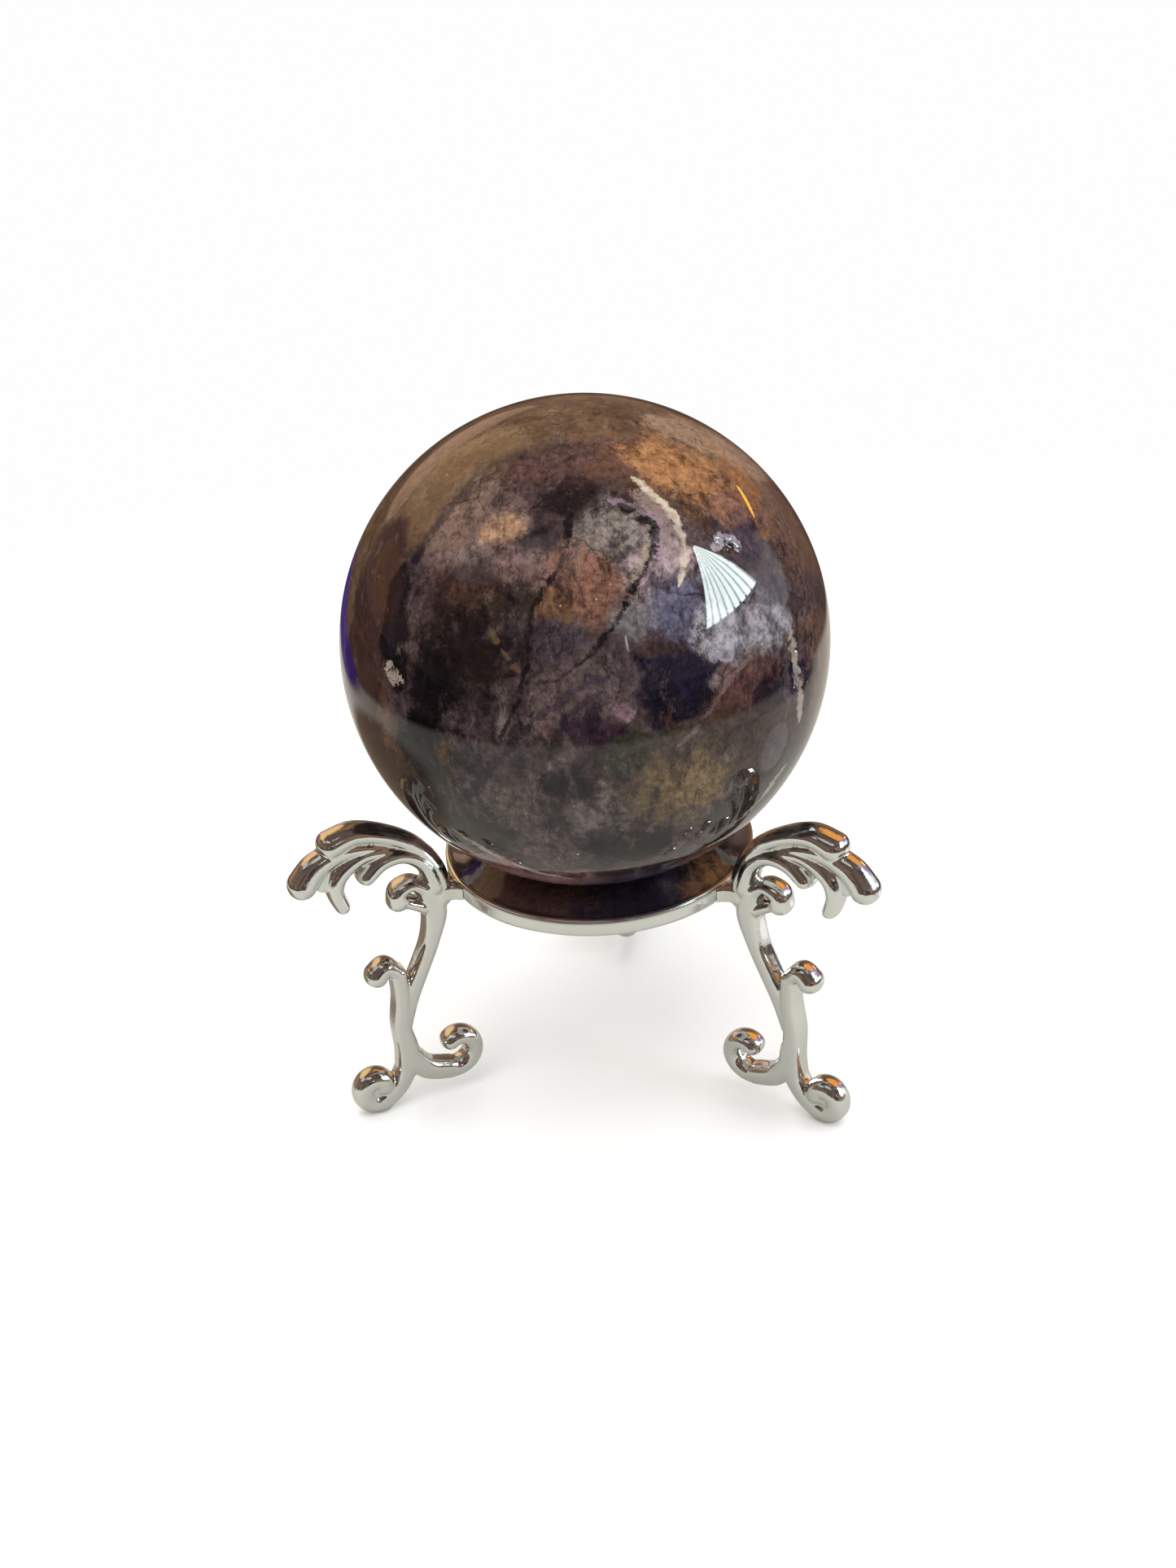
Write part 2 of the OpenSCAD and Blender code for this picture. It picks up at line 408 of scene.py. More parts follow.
@dataclass(frozen=True)
class PolishedFluorite:
    """Banded fluorite, sawn, ground round and tumbled to a glass polish.

    The eye gets deep, broken colour under a clear wet gloss, and dark threads that look sunk into it.

    Attributes: radius of the ball in metres, fluorite's own refraction, the colours of the outer stone and
    of its dark bands, of the core and its cloud, of the painted shade that darkens the outer stone's lower
    half and of the stains, how much of the colours' strength and lightness is left under the polish, middle
    (longitude and latitude) and half angle of the core's window in front and of the one behind, patches, and
    veins.
    """

    radius: float
    ior: float = 1.434
    honey: str = "#80603f"
    honey_dark: str = "#684a2c"
    plum: str = "#2e2122"
    mauve: str = "#5c4848"
    # colour of the painted shade that darkens the outer stone towards the bottom
    lower_shade: str = "#2a201c"
    stain: str = "#5c4129"
    strength: float = 0.84
    lightness: float = 0.74
    windows: tuple[tuple[float, float, float], ...] = ((15, 18, 57), (192, 0, 46))
    patches: tuple[Patch, ...] = (
        Patch(-53, 14, 30, 8, 97, "#371e1e", 0.7, 0.92),  # maroon left shoulder
        Patch(82, 20, 34, 13, 80, "#6c4c3e", 0.7, 0.85),  # maroon right shoulder
        Patch(-24, 49, 12, 10, 48, "#7c5e54", 0.7, 0.85),  # lavender cloud
        Patch(-7, 40, 5, 8, 76, "#7a5a54", 0.7, 0.8),  # its lower end
        Patch(-16, 49, 5.5, 4, 28, "#b28456", 0.9, 0.75),  # tan heart of the cloud
        Patch(15, 66, 19, 6, -9, "#5c3c33", 0.7, 0.85),  # plum cap
        Patch(60, 57, 13, 9, -55, "#a86e30", 0.7, 0.9),  # amber cap
        Patch(94, 56, 17, 8, -70, "#a88260", 0.8, 0.75),  # pale amber by the rim
        Patch(69, 46, 9, 8, -1, "#925c2a", 0.7, 0.7),  # rust edge of the cap
        Patch(21, 47, 8, 7, -9, "#908278", 0.7, 0.85),  # taupe field
        Patch(10, 38, 7, 8, 56, "#86543a", 0.7, 0.9),  # rust heart
        Patch(2, 33, 5, 4, -1, "#744c24", 0.7, 0.8),  # ochre below it
        Patch(30, 37, 6, 8, 82, "#b09698", 0.7, 0.85),  # lilac field
        Patch(32, 29, 7, 6, -13, "#605e78", 0.7, 0.9),  # slate field
        Patch(48, 20, 13, 8, -11, "#aaa6b0", 0.7, 0.85),  # painted glow of the window's light in the stone, lilac grey
        Patch(67, 22, 4, 23, 67, "#4c4046", 0.5, 0.7),  # smoke at its side
        Patch(28, 14, 13, 6, -17, "#14132c", 0.35, 0.95),  # indigo pool
        Patch(27, 7, 6, 5, 18, "#120f20", 0.4, 0.95),  # indigo tail
        Patch(44, 12.5, 10, 3, 12, "#8c7c78", 0.7, 0.8),  # pink grey band
        Patch(46, 8, 10, 7, 5, "#5a342e", 0.4, 0.85),  # rust wedge
        Patch(55, 5, 4, 10, 96, "#1e1428", 0.4, 0.9),  # plum corner
        Patch(-21, 34, 6, 10, 81, "#44281e", 0.7, 0.85),  # chestnut
        Patch(-21, 19, 10, 13, 95, "#160d0e", 0.6, 0.95),  # umber field
        Patch(-10, 34, 4, 7, 102, "#2a201c", 0.6, 0.8),  # black green pool
        Patch(-29, 10, 11, 6, 80, "#0d0b10", 0.5, 0.95),  # black left pool
        Patch(-41, 23, 15, 4, 105, "#0d0811", 0.5, 0.97),  # ink at the left
        Patch(1, 25, 6, 5, -1, "#463a44", 0.5, 0.85),  # lilac spot
        Patch(7, 12, 14, 8, 32, "#5c4a48", 0.7, 0.85),  # plum weave
        Patch(10, 5, 4, 8, 72, "#2e1529", 0.6, 0.85),  # magenta pool
        Patch(15, 10, 2, 3, 66, "#8a6670", 0.5, 0.8),  # pink fleck
        Patch(18, 0, 8, 5, 13, "#33352a", 0.5, 0.85),  # green smoke
        Patch(27, -10, 13, 11, 2, "#644e2a", 0.7, 0.9),  # olive field
        Patch(31, -12, 6, 6, 6, "#826434", 0.8, 0.8),  # its yellow heart
        Patch(27, 1, 6, 3, 25, "#483830", 0.7, 0.8),  # tan arm
        Patch(49, -8, 8, 19, 50, "#402c20", 0.7, 0.8),  # brown right cheek
        Patch(-12, -13, 10, 5, 25, "#584842", 0.5, 0.85),  # taupe foot
        Patch(7, -16, 6, 6, 65, "#665a54", 0.6, 0.85),  # grey foot
        Patch(-6, -1, 10, 4, 38, "#342826", 0.7, 0.8),  # plum foot
        Patch(2, -8, 5, 6, 77, "#0a080a", 0.6, 0.9),  # ink between the feet
        Patch(16, -27, 10, 6, -1, "#0d0b0d", 0.6, 0.9),  # ink foot
        Patch(-28, -3, 9, 10, -45, "#090808", 0.7, 0.95),  # green black cheek
        Patch(-27, -23, 12, 13, -53, "#1c1611", 0.7, 0.85),  # smoke base, left
        Patch(52, -28, 10, 14, 44, "#322a24", 0.5, 0.8),  # smoke base, right
        Patch(8, 57, 5, 5, 87, "#281c1a", 0.6, 0.95),  # black head
        Patch(-19, 34, 2, 6, 91, "#4c2e1c", 0.6, 0.5),  # gold grain
        Patch(20, 29, 4, 5, 50, "#7c7678", 0.7, 0.7),  # crust
        Patch(-30, -60, 26, 20, 0, "#8c5e5a", 0.6, 0.9),  # underside: maroon
        Patch(30, -58, 18, 14, 0, "#443a54", 0.6, 0.9),  # underside: indigo
        Patch(70, -50, 14, 12, 30, "#b0703c", 0.6, 0.85),  # underside: rust
        Patch(180, -62, 40, 24, 0, "#5a4040", 0.4, 0.85),  # underside: maroon behind
        Patch(170, 15, 30, 16, 20, "#4a3a4c", 0.5, 0.85),  # back: plum lobe
        Patch(150, -5, 18, 8, 35, "#1e1a30", 0.4, 0.85),  # back: indigo pool
        Patch(205, 35, 16, 9, -30, "#7a666e", 0.7, 0.8),  # back: mauve cloud
        Patch(208, -2, 15, 9, 15, "#7c4e34", 0.7, 0.85),  # back: rust field
        Patch(182, -22, 14, 8, -20, "#7e7468", 0.7, 0.8),  # back: taupe field
        Patch(188, 12, 8, 5, 60, "#1a141a", 0.6, 0.9),  # back: ink pool
        Patch(120, 25, 9, 18, 20, "#5a3c34", 0.5, 0.8),  # right side: chestnut
        Patch(235, -5, 14, 10, 60, "#2c2a28", 0.45, 0.85),  # left side: smoke
        Patch(250, 30, 8, 12, 20, "#6a5038", 0.5, 0.7),  # left side: ochre
    )
    veins: tuple[Vein, ...] = (
        # cream band
        Vein(((34, 59), (39, 52), (41, 46), (39, 40), (40, 40), (34, 34)), 0.95, "#e0cfb4", 0.9, 0.92, 1.2),
        Vein(((32, 55), (37, 49), (37, 41)), 2.0, "#a88e86", 0.8, 0.6),  # its faint inner side
        # pink lining of the black vein
        Vein(((21, 56), (29, 52), (36, 48), (30, 40), (24, 36)), 0.9, "#9c8292", 0.6, 0.7),
        Vein(((27, 0), (34, 5), (42, 12), (50, 15)), 0.7, "#8a7468", 0.7, 0.5),  # edge of the tan arm
        Vein(((13, 17), (6, 15), (-3, 9)), 0.8, "#2c2034", 0.7, 0.6),  # plum threads
        Vein(((11, 14), (4, 9), (1, 4)), 0.7, "#281c30", 0.7, 0.6),
        Vein(((-4, 10), (-10, 2), (-21, -12)), 1.2, "#161216", 0.4, 0.8),  # ink thread
        Vein(((-28, 38), (-29, 30), (-28, 24)), 1.2, "#2a1a16", 0.4, 0.6),  # brown thread
        # edge of the core
        Vein(((-33, 60), (-41, 46), (-43, 36), (-43, 25), (-42, 17)), 1.3, "#1c1428", 0.4, 0.75),
        # left black vein
        Vein(((6, 52), (4, 45), (2, 40), (-4, 32), (-5, 25), (-5, 20)), 0.75, "#140f14", 0.7, 0.9, 1.8),
        Vein(((-5, 21), (-7, 13), (-12, 3), (-19, -5)), 0.55, "#140f14", 0.7, 0.85, 1.8),  # its lower run
        # right black vein
        Vein(((25, 53), (33, 47), (30, 42), (24, 37), (19, 32)), 1.15, "#0f0b11", 0.6, 0.95, 1.7),
        Vein(((19, 32), (14, 27), (9, 22)), 0.75, "#0f0b11", 0.7, 0.9, 1.7),  # its thinner end
        Vein(((9, 22), (3, 18), (-4, 16)), 0.4, "#1a1420", 0.8, 0.8, 1.6),
        Vein(((30, 45), (26, 40), (21, 35)), 0.7, "#b8a080", 0.7, 0.7),  # pale crumbs beside it
        Vein(((62, 15), (61, 8), (63, 0), (63, -7)), 1.3, "#b8a898", 0.6, 0.85),  # cream crust
        Vein(((-14, 27), (-12, 23), (-7, 19)), 0.5, "#6c522e", 0.7, 0.6),  # gold thread
        Vein(((-41, 13), (-38, 12)), 1.6, "#b09a88", 0.3, 0.9),  # cream speck
        Vein(((-30, -27), (-18, -36), (-3, -44)), 0.7, "#a49c90", 0.2, 0.7),  # crumbs low on the left
        Vein(((46, -33), (54, -27), (60, -19)), 0.9, "#b4aca0", 0.2, 0.75),  # crumbs low on the right
        Vein(((49, 38), (53, 39.5), (56, 37)), 1.3, "#b8aeb8", 0.6, 0.8),  # rim of the pit
        # back: black vein
        Vein(((140, 40), (155, 22), (165, -2), (158, -25)), 1.1, "#100d12", 0.4, 0.95, 1.1),
        Vein(((190, 45), (200, 20), (222, 5)), 1.0, "#9a8270", 0.4, 0.8),  # back: cream thread
    )

    def material(self) -> bpy.types.Material:
        """Build the material and return it."""
        made = bpy.data.materials.new("fluorite_polished")
        made.use_nodes = True
        tree = made.node_tree
        tree.nodes.clear()
        place = add(tree, "TexCoord").outputs["Object"]
        mm = add(tree, "VectorMath", {"operation": "SCALE"}, {0: place, "Scale": 1 / MM}).outputs[0]
        ball = add(tree, "VectorMath", {"operation": "SCALE"},
                   {0: place, "Scale": 1 / self.radius}).outputs[0]
        wander = shifted(tree, shifted(tree, ball, 0.42, 0.13, 2.0), 0.1, 0.07, 6.0)
        crooked = shifted(tree, shifted(tree, ball, 0.3, 0.06, 2.0), 0.07, 0.05, 5.0)
        coarse = band(tree, grain(tree, mm, 3.2, 9.0, 0.74).outputs[0], 0.24, 0.76, -1.0, 1.0)
        fine = band(tree, grain(tree, mm, 1.2, 8.0, 0.75).outputs[0], 0.28, 0.72, -1.0, 1.0)
        colour, core = self.ground(tree, mm, wander)
        for patch in self.patches:
            colour = mix(tree, colour, linear(patch.colour), patch.mask(tree, wander, coarse))
        colour = self.clouds(tree, mm, colour, core)
        worn = band(tree, grain(tree, mm, 1.6, 8.0, 0.8).outputs[0], 0.36, 0.56, 0.5, 1.0)
        for vein in self.veins:
            line = vein.mask(tree, crooked, fine)
            share = add(tree, "Math", {"operation": "MULTIPLY"}, {0: line, 1: worn})
            colour = mix(tree, colour, linear(vein.colour), share.outputs[0])
        colour = self.specks(tree, mm, colour, core)
        colour = add(tree, "HueSaturation", {}, {"Saturation": self.strength, "Value": self.lightness,
                                                 "Color": colour}).outputs[0]
        polish = grain(tree, mm, 4.0, 3.0).outputs[0]
        shader = add(tree, "BsdfPrincipled", {}, {
            "Base Color": colour, "IOR": self.ior, "Roughness": band(tree, polish, 0.3, 0.7, 0.015, 0.05)})
        out = add(tree, "OutputMaterial")
        tree.links.new(shader.outputs[0], out.inputs[0])
        return made

    def ground(self, tree: bpy.types.NodeTree, mm: Socket, wander: Socket) -> tuple[Socket, Socket]:
        """Honey stone all round, with a plum core that shows as a window in front and a smaller one behind.

        Args:
            tree: node tree.
            mm: point in millimetres from the ball's middle.
            wander: ragged point on the unit sphere.

        Returns:
            Colour of the ground, and a mask that is one in the core.
        """
        caps = [self.cap(tree, wander, heading(lon, lat), angle) for lon, lat, angle in self.windows]
        away = add(tree, "Math", {"operation": "MINIMUM"}, {0: caps[0], 1: caps[1]}).outputs[0]
        cloud = band(tree, grain(tree, mm, 9.0, 7.0, 0.7).outputs[0], 0.32, 0.68)
        plum = mix(tree, linear(self.plum), linear(self.mauve), cloud)
        streak = add(tree, "Mapping", {},
                     {"Vector": mm, "Rotation": Euler((0.3, 0.5, 0.6)), "Scale": (0.35, 2.2, 1.2)})
        fibre = band(tree, grain(tree, streak.outputs[0], 5.0, 7.0, 0.65).outputs[0], 0.3, 0.72)
        honey = mix(tree, linear(self.honey_dark), linear(self.honey), fibre)
        blot = band(tree, grain(tree, mm, 8.0, 6.0, 0.66).outputs[0], 0.42, 0.6)
        honey = mix(tree, linear(self.stain), honey, blot)
        # painted shade: the outer stone turns darker towards the bottom, from a little above the middle down
        height = add(tree, "SeparateXYZ", {}, {0: wander}).outputs[2]
        honey = mix(tree, linear(self.lower_shade), honey, band(tree, height, -0.28, 0.12))
        inside = edge(tree, away, 0.95, 1.05, 1.0)
        return mix(tree, honey, plum, inside), inside

    @staticmethod
    def cap(tree: bpy.types.NodeTree, at: Socket, middle: Vector, angle: float) -> Socket:
        """Measure how far a point lies from a cap's middle.

        Args:
            tree: node tree.
            at: point on the unit sphere.
            middle: direction of the cap's middle.
            angle: half angle of the cap in degrees.

        Returns:
            The angle from the middle, as a share of the half angle.
        """
        dot = add(tree, "VectorMath", {"operation": "DOT_PRODUCT"}, {0: at, 1: middle}).outputs[1]
        turned = add(tree, "Math", {"operation": "ARCCOSINE"}, {0: dot}).outputs[0]
        return add(tree, "Math", {"operation": "DIVIDE"}, {0: turned, 1: math.radians(angle)}).outputs[0]

    @staticmethod
    def clouds(tree: bpy.types.NodeTree, mm: Socket, colour: Socket, core: Socket) -> Socket:
        """Break the patches up with wisps, stains and threads, strong in the core and faint outside it.

        Args:
            tree: node tree.
            mm: point in millimetres from the ball's middle.
            colour: colour of ground and patches.
            core: mask that is one in the core.

        Returns:
            The broken-up colour.
        """
        slant = add(tree, "Mapping", {}, {
            "Vector": shifted(tree, mm, 6.0, 3.0, 3.0), "Rotation": Euler((0.2, 0.9, 0.1)),
            "Scale": (1.7, 1.0, 0.55)}).outputs[0]
        light = band(tree, grain(tree, slant, 2.4, 10.0, 0.78).outputs[0], 0.5, 0.72, 0.0, 0.5)
        colour = mix(tree, colour, linear("#9a8a90"), light, "SOFT_LIGHT")
        for size, code, low, high, most in ((3.6, "#94827c", 0.55, 0.7, 0.38),
                                            (5.0, "#7a4a22", 0.57, 0.7, 0.5),
                                            (2.1, "#c0b09c", 0.62, 0.78, 0.5)):
            wisp = band(tree, grain(tree, slant, size, 10.0, 0.72).outputs[0], low, high, 0.0, most)
            colour = mix(tree, colour, linear(code), wisp)
        dark = band(tree, grain(tree, slant, 3.3, 10.0, 0.74).outputs[0], 0.36, 0.52, 0.76, 0.0)
        inside = band(tree, core, 0.0, 1.0, 0.3)
        dark = add(tree, "Math", {"operation": "MULTIPLY"}, {0: dark, 1: inside}).outputs[0]
        colour = mix(tree, colour, linear("#17131a"), dark)
        for size, width, code in ((5.5, 0.014, "#120f14"), (2.6, 0.018, "#2a1c2c")):
            colour = PolishedFluorite.thread(tree, slant, colour, size, width, linear(code), 0.55)
        fine = band(tree, grain(tree, mm, 0.9, 6.0, 0.75).outputs[0], 0.27, 0.73, 0.42, 1.6)
        shade = add(tree, "CombineColor", {}, {0: fine, 1: fine, 2: fine}).outputs[0]
        return mix(tree, colour, shade, band(tree, core, 0.0, 1.0, 0.5), "MULTIPLY")

    @staticmethod
    def thread(tree: bpy.types.NodeTree, at: Socket, colour: Socket, size: float, width: float,
               ink: Colour, most: float) -> Socket:
        """Draw thin meandering threads where a noise crosses its middle.

        Args:
            tree: node tree.
            at: point in millimetres.
            colour: colour under the threads.
            size: spacing of the threads in mm.
            width: half width, as a share of the noise's range.
            ink: colour of the threads.
            most: how fully they cover.

        Returns:
            The colour with threads.
        """
        field = grain(tree, at, size, 5.0, 0.55).outputs[0]
        off = add(tree, "Math", {"operation": "SUBTRACT"}, {0: field, 1: 0.5}).outputs[0]
        away = add(tree, "Math", {"operation": "ABSOLUTE"}, {0: off}).outputs[0]
        line = band(tree, away, width * 0.3, width, most, 0.0)
        there = band(tree, grain(tree, at, size * 1.3, 3.0, 0.6).outputs[0], 0.48, 0.6)
        share = add(tree, "Math", {"operation": "MULTIPLY"}, {0: line, 1: there}).outputs[0]
        return mix(tree, colour, ink, share)

    @staticmethod
    def specks(tree: bpy.types.NodeTree, mm: Socket, colour: Socket, core: Socket) -> Socket:
        """Add hair cracks in the core, and the bright grains of a few open inclusions.

        Real hair cracks are a few hundredths of a millimetre wide, and real grains a tenth. Both are drawn
        several times as coarse, so that they show.

        Args:
            tree: node tree.
            mm: point in millimetres from the ball's middle.
            colour: colour under them.
            core: mask that is one in the core.

        Returns:
            The colour with cracks and grains.
        """
        ragged = shifted(tree, mm, 3.0, 2.2, 4.0)
        crack = add(tree, "TexVoronoi", {"feature": "DISTANCE_TO_EDGE"}, {"Vector": ragged, "Scale": 1 / 8})
        line = band(tree, crack.outputs[0], 0.0, 0.022, 0.75, 0.0)
        there = band(tree, grain(tree, mm, 7.0, 2.0).outputs[0], 0.5, 0.62)
        both = add(tree, "Math", {"operation": "MULTIPLY"}, {0: line, 1: there}).outputs[0]
        both = add(tree, "Math", {"operation": "MULTIPLY"}, {0: both, 1: core}).outputs[0]
        colour = mix(tree, colour, linear("#140f14"), both)
        seed = add(tree, "TexVoronoi", {"feature": "F1"}, {"Vector": mm, "Scale": 1 / 1.3})
        dot = band(tree, seed.outputs[0], 0.05, 0.13, 1.0, 0.0)
        pick = add(tree, "SeparateColor", {}, {0: seed.outputs[1]})
        rare = band(tree, pick.outputs[0], 0.93, 0.96)
        field = band(tree, grain(tree, mm, 10.0, 2.0).outputs[0], 0.48, 0.6)
        some = add(tree, "Math", {"operation": "MULTIPLY"}, {0: rare, 1: field}).outputs[0]
        glint = add(tree, "Math", {"operation": "MULTIPLY"}, {0: dot, 1: some}).outputs[0]
        return mix(tree, colour, linear("#e8dccb"), glint)


@dataclass(frozen=True)
class SilverPlate:
    """Bright silver plated over a part: a mirror that takes its tone from the room.

    The pits of the casting's skin are a few hundredths of a millimetre across; they are drawn ten times as
    coarse, so that they show as a faint unevenness of the mirror.

    Attributes: material name, colour of the bright metal, colour where it has dulled in the hollows,
    roughness at its best and at its worst, size and height of its ripples in mm, and the radius in mm
    beyond which the part was left as cast and is less of a mirror.
    """

    name: str
    bright: str = "#e4e5e4"
    dull: str = "#a39a8c"
    smooth: float = 0.08
    worn: float = 0.2
    ripple: float = 1.5
    height: float = 0.032
    turned_to: float = 100.0

    def material(self) -> bpy.types.Material:
        """Build the material and return it."""
        made = bpy.data.materials.new(self.name)
        made.use_nodes = True
        tree = made.node_tree
        tree.nodes.clear()
        place = add(tree, "TexCoord").outputs["Object"]
        mm = add(tree, "VectorMath", {"operation": "SCALE"}, {0: place, "Scale": 1 / MM}).outputs[0]
        hollow = band(tree, add(tree, "NewGeometry").outputs["Pointiness"], 0.40, 0.49, 0.85, 0.0)
        blotch = band(tree, grain(tree, mm, 2.4, 5.0, 0.65).outputs[0], 0.35, 0.7, 0.15, 1.0)
        tarnish = add(tree, "Math", {"operation": "MULTIPLY"}, {0: hollow, 1: blotch}).outputs[0]
        colour = mix(tree, linear(self.bright), linear(self.dull), tarnish)
        bloom = band(tree, grain(tree, mm, 1.6, 6.0, 0.7).outputs[0], 0.35, 0.75, self.smooth, self.worn)
        flat = add(tree, "VectorMath", {"operation": "MULTIPLY"}, {0: mm, 1: (1.0, 1.0, 0.0)}).outputs[0]
        out_at = add(tree, "VectorMath", {"operation": "LENGTH"}, {0: flat}).outputs[1]
        cast = band(tree, out_at, self.turned_to - 0.15, self.turned_to, 0.0, 0.2)
        bloom = add(tree, "Math", {"operation": "ADD"}, {0: bloom, 1: cast}).outputs[0]
        wave = grain(tree, mm, self.ripple, 2.0, 0.5).outputs[0]
        pits = band(tree, grain(tree, mm, 0.35, 3.0, 0.6).outputs[0], 0.3, 0.42, 0.0, 0.12)
        relief = add(tree, "Math", {"operation": "ADD"}, {0: wave, 1: pits}).outputs[0]
        bump = add(tree, "Bump", {}, {"Strength": 1.0, "Distance": self.height * MM, "Height": relief})
        shader = add(tree, "BsdfPrincipled", {}, {
            "Base Color": colour, "Metallic": 1.0, "Roughness": bloom, "Normal": bump.outputs[0]})
        out = add(tree, "OutputMaterial")
        tree.links.new(shader.outputs[0], out.inputs[0])
        return made


# ---------------------------------------------------------------- the object's own pieces


@dataclass
class CrystalBall:
    """The fluorite ball, with a few real pits where soft grains broke out under the polish.

    Attributes: CAD node, fineness of the sphere, how far out from a pit the mesh is finer, in pit radii,
    how torn the pits' edges are and how finely, and the pits as longitude, latitude and radius in degrees
    and depth in mm.
    """

    node: str = "crystal_ball"
    subdivisions: int = 7
    around: float = 1.8
    torn: float = 0.55
    tears: float = 55
    pits: tuple[tuple[float, float, float, float], ...] = (
        (53, 37, 1.9, 0.34), (50, 39, 1.1, 0.2), (46, -16, 1.5, 0.22), (50, -23, 1.2, 0.2),
        (62, 10, 1.0, 0.2), (63, 1, 1.2, 0.24), (-40, 13, 1.2, 0.2), (6, 58, 0.8, 0.14),
        (160, 5, 1.6, 0.26), (215, 32, 1.2, 0.2))

    def centre(self) -> Vector:
        """Middle of the CAD ball."""
        low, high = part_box(self.node)
        return (low + high) / 2

    def radius(self) -> float:
        """Radius of the CAD ball."""
        low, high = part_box(self.node)
        return (high.z - low.z) / 2

    def build(self) -> bpy.types.Object:
        """Shape the ball, finer round its pits, and return it."""
        radius = self.radius()
        bm = bmesh.new()
        bmesh.ops.create_icosphere(bm, subdivisions=self.subdivisions, radius=radius)
        near = [(heading(lon, lat), math.radians(size), depth) for lon, lat, size, depth in self.pits]
        for _ in range(2):
            edges = {e for f in bm.faces for e in f.edges
                     if any(f.calc_center_median().normalized().angle(up) < self.around * size
                            for up, size, _ in near)}
            bmesh.ops.subdivide_edges(bm, edges=list(edges), cuts=1, use_grid_fill=True)
            bmesh.ops.triangulate(bm, faces=[f for f in bm.faces if len(f.verts) > 3])
        for vert in bm.verts:
            up = vert.co.normalized()
            vert.co = up * (radius - self.sunk(up, near) * MM)
        ball = mesh_object("fluorite_ball", bm)
        ball.location = self.centre()
        return ball

    def sunk(self, up: Vector, near: Iterable[tuple[Vector, float, float]]) -> float:
        """Find how deep the pits go at a direction.

        Args:
            up: direction from the ball's middle.
            near: direction, radius in radians and depth in mm of each pit.

        Returns:
            Depth below the true sphere, in mm.
        """
        deepest = 0.0
        for middle, size, depth in near:
            away = up.angle(middle) / size
            if away < self.around:
                ragged = away + self.torn * noise.noise(up * self.tears)
                deepest = max(deepest, depth * max(0.0, 1 - ragged ** 2) ** 1.2)
        return deepest

    def dress(self, ball: bpy.types.Object) -> None:
        """Give the ball its finish and its body."""
        settle(ball, Body.BALL, self.node, PolishedFluorite(self.radius()).material())


@dataclass
class SeatRing:
    """The dished washer that the ball sits in, cast, turned on top and plated. Sizes in mm.

    Attributes: CAD node, steps round the ring, width from the wall to the hole, how much lower the top lies
    at the hole, radius of the hole's rounded edge, and how much the lower edge wanders and how far up.
    """

    node: str = "seat_ring"
    steps: int = 240
    wide: float = 10.6
    dish: float = 0.3
    lip: float = 0.8
    sag: float = 0.07
    sag_up: float = 1.2

    def outline(self) -> list[tuple[float, float]]:
        """Radius and height round the section, taken from the CAD node's own height and width."""
        low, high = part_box(self.node)
        r, top, foot = high.x / MM, high.z / MM, low.z / MM
        seat, hole, lip = top - self.dish, r - self.wide, self.lip
        curl = [(hole + lip - lip * math.sin(math.radians(a)), seat - lip - lip * math.cos(math.radians(a)))
                for a in range(0, 181, 18)]
        underside = [(r - 0.35, foot), (hole + lip + 0.3, foot), (hole + lip, foot + 0.1)]
        dished = [(r - 7.5, seat), (r - 4.5, seat + 0.02), (r - 2.2, seat + 0.06), (r - 1.05, seat + 0.13)]
        rim = [(r - 0.78, seat + 0.22), (r - 0.52, top), (r - 0.28, top), (r - 0.1, top - 0.08)]
        wall = [(r, top - 0.24), (r, top - 0.9), (r - 0.02, foot + 0.6), (r - 0.05, foot + 0.25),
                (r - 0.16, foot + 0.07)]
        return [*underside, *curl, *dished, *rim, *wall]

    def build(self) -> bpy.types.Object:
        """Turn the section into the ring, with the slightly wandering lower edge of a casting."""
        section = self.outline()
        foot = min(z for _, z in section)
        bm = bmesh.new()
        rings = []
        for i in range(self.steps):
            a = 2 * math.pi * i / self.steps
            out = Vector((math.cos(a), math.sin(a), 0))
            wander = noise.noise(out * 2.3) + 0.4 * noise.noise(out * 7)
            rings.append([bm.verts.new((out * r + Vector((0, 0, z + self.droop(r, z - foot, wander)))) * MM)
                          for r, z in section])
        for this, after in zip(rings, rings[1:] + rings[:1]):
            for j in range(len(section)):
                k = (j + 1) % len(section)
                bm.faces.new((this[j], this[k], after[k], after[j]))
        bmesh.ops.recalc_face_normals(bm, faces=bm.faces)
        return mesh_object("seat_ring_plated", bm)

    def droop(self, radius: float, above: float, wander: float) -> float:
        """Find how much a point of the outer lower edge is lifted; the seat itself stays true.

        Args:
            radius: the point's distance from the axis, in mm.
            above: its height above the ring's underside, in mm.
            wander: noise about zero at its angle.

        Returns:
            Lift in mm.
        """
        outer = radius > 15
        return self.sag * (0.5 + wander) * max(0.0, 1 - above / self.sag_up) if outer else 0.0

    def dress(self, ring: bpy.types.Object) -> None:
        """Give the ring its finish and its body."""
        finish = SilverPlate("silver_plate_turned", smooth=0.02, worn=0.06, ripple=3.0, height=0.006,
                             turned_to=19.98)
        settle(ring, Body.STAND, self.node, finish.material())


